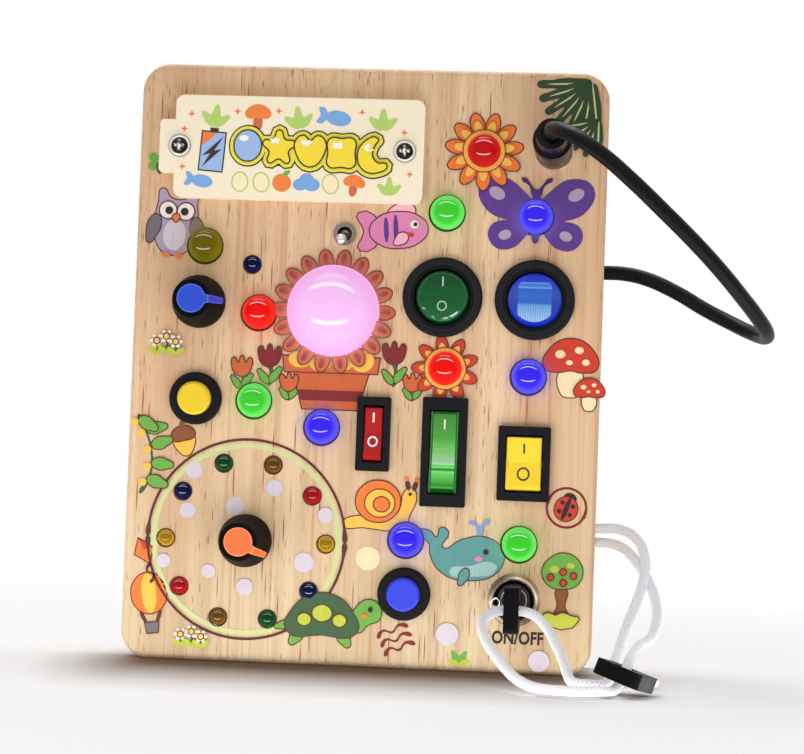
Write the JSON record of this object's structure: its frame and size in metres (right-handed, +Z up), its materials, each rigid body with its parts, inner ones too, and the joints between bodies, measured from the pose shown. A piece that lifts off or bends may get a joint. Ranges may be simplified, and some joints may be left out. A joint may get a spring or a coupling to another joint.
{
  "type": "wooden busy board",
  "caption": "Upright wooden busy board: lamps, rocker, toggle and push switches, turning knobs, a key lock with a corded key, a plug-in cable and a screwed battery cover.",
  "frame": {"origin": "middle of the flat lower edge that the board stands on", "axes": "+Z up, +X to the right seen from the front, the front face looks along -Y"},
  "size_m": [0.1835, 0.106, 0.173],
  "materials": {
    "pine_wood": "fine-sanded bare pine",
    "back_wood": "sanded thin pine panel",
    "screw_steel": "zinc plated",
    "dark_steel": "dark nickel plated",
    "cream_panel": "cream printed panel, matte",
    "black_plastic": "moulded, fine matte texture",
    "cell_wrap": "printed cell jacket",
    "chrome": "bright nickel plating",
    "spring_steel": "drawn wire",
    "red_lens": "lit clear-tinted lens",
    "green_lens": "lit clear-tinted lens",
    "blue_lens": "lit clear-tinted lens",
    "olive_lens": "unlit yellow lens",
    "small_red_lens": "small red lens",
    "small_yellow_lens": "small yellow lens",
    "small_blue_lens": "small unlit blue lens",
    "small_green_lens": "small unlit green lens",
    "small_orange_lens": "small unlit orange lens",
    "pink_dome": "frosted glowing dome",
    "white_plastic": "white lamp board",
    "green_round_lens": "dark green clear rocker",
    "blue_round_lens": "lit blue clear rocker",
    "red_rocker_plastic": "red rocker",
    "green_rocker_plastic": "lit green clear rocker",
    "yellow_plastic": "yellow moulded plastic",
    "blue_plastic": "blue moulded plastic",
    "blue_cap": "blue cap",
    "orange_cap": "orange cap",
    "tin": "tinned terminal metal",
    "cable_rubber": "black cable sheath",
    "cord_fabric": "white braided cord",
    "circuit_green": "solder-masked board",
    "wire_red": "insulated wire"
  },
  "bodies": {
    "board": {"wooden_case": "pine_wood", "back_plate": "back_wood", "back_screws": "screw_steel", "battery_cover": "cream_panel", "cover_screws": "dark_steel", "battery_holder": "black_plastic", "batteries": "cell_wrap", "battery_contacts": "spring_steel", "red_lamps": "red_lens", "green_lamps": "green_lens", "blue_lamps": "blue_lens", "yellow_lamp": "olive_lens", "small_red_lamps": "small_red_lens", "small_yellow_lamps": "small_yellow_lens", "small_blue_lamps": "small_blue_lens", "small_green_lamps": "small_green_lens", "small_orange_lamps": "small_orange_lens", "dome_lens": "pink_dome", "dome_lamp": "white_plastic", "toggle_housing": "black_plastic", "toggle_bushing": "chrome", "round_switch_housings": "black_plastic", "red_switch_housing": "black_plastic", "green_switch_housing": "black_plastic", "yellow_switch_housing": "black_plastic", "switch_terminals": "tin", "button_housings": "black_plastic", "yellow_button_spring": "spring_steel", "blue_button_spring": "spring_steel", "barrel_nuts": "screw_steel", "pot_housings": "tin", "panel_nuts": "screw_steel", "lock_housing": "chrome", "jack_socket": "chrome", "patch_cable": "cable_rubber", "key_cord": "cord_fabric", "spare_key_blade": "chrome", "spare_key_head": "black_plastic", "driver_board": "circuit_green", "board_parts": "black_plastic", "wiring": "wire_red"},
    "toggle": {"toggle_lever": "chrome"},
    "green_round": {"green_round_rocker": "green_round_lens"},
    "blue_round": {"blue_round_rocker": "blue_round_lens"},
    "red_switch": {"red_rocker": "red_rocker_plastic"},
    "green_switch": {"green_rocker": "green_rocker_plastic"},
    "yellow_switch": {"yellow_rocker": "yellow_plastic"},
    "yellow_push": {"yellow_button": "yellow_plastic"},
    "blue_push": {"blue_button": "blue_plastic"},
    "blue_dial": {"blue_knob_shaft": "spring_steel", "blue_knob": "black_plastic", "blue_knob_pointer": "blue_cap"},
    "orange_dial": {"orange_knob_shaft": "spring_steel", "orange_knob": "black_plastic", "orange_knob_pointer": "orange_cap"},
    "lock_key": {"lock_core": "chrome", "key_blade": "chrome", "key_head": "black_plastic"},
    "plug": {"plug_grip": "black_plastic", "plug_contact": "chrome"}
  },
  "joints": [
    {"name": "green_round_tilt", "type": "hinge", "parent": "board", "child": "green_round", "pos_m": [0.022, -0.0165, 0.107], "axis": [1, 0, 0], "range_deg": [0, 16]},
    {"name": "blue_round_tilt", "type": "hinge", "parent": "board", "child": "blue_round", "pos_m": [0.0485, -0.0165, 0.107], "axis": [1, 0, 0], "range_deg": [0, 16]},
    {"name": "red_tilt", "type": "hinge", "parent": "board", "child": "red_switch", "pos_m": [0.0035, -0.0165, 0.067], "axis": [1, 0, 0], "range_deg": [0, 16]},
    {"name": "green_tilt", "type": "hinge", "parent": "board", "child": "green_switch", "pos_m": [0.024, -0.0165, 0.0625], "axis": [1, 0, 0], "range_deg": [0, 16]},
    {"name": "yellow_tilt", "type": "hinge", "parent": "board", "child": "yellow_switch", "pos_m": [0.047, -0.0165, 0.06], "axis": [1, 0, 0], "range_deg": [0, 16]},
    {"name": "toggle_tilt", "type": "hinge", "parent": "board", "child": "toggle", "pos_m": [-0.007, -0.0155, 0.1245], "axis": [1, 0, 0], "range_deg": [-24, 0]},
    {"name": "yellow_press", "type": "slide", "parent": "board", "child": "yellow_push", "axis": [0, 1, 0], "range_m": [0, 0.002], "stiffness_N_per_m": 300, "springref_m": -0.001, "deforming": ["yellow_button_spring"]},
    {"name": "blue_press", "type": "slide", "parent": "board", "child": "blue_push", "axis": [0, 1, 0], "range_m": [0, 0.002], "stiffness_N_per_m": 300, "springref_m": -0.001, "deforming": ["blue_button_spring"]},
    {"name": "blue_knob_turn", "type": "hinge", "parent": "board", "child": "blue_dial", "pos_m": [-0.0485, -0.0175, 0.1035], "axis": [0, -1, 0], "range_deg": [-150, 150]},
    {"name": "orange_knob_turn", "type": "hinge", "parent": "board", "child": "orange_dial", "pos_m": [-0.0323, -0.0175, 0.035], "axis": [0, -1, 0], "range_deg": [-122, 178]},
    {"name": "key_turn", "type": "hinge", "parent": "board", "child": "lock_key", "pos_m": [0.0455, -0.0175, 0.021], "axis": [0, -1, 0], "range_deg": [-90, 0], "deforming": ["key_cord"]},
    {"name": "plug_pull", "type": "slide", "parent": "board", "child": "plug", "axis": [0, -1, 0], "range_m": [0, 0.012], "deforming": ["patch_cable"]}
  ]
}
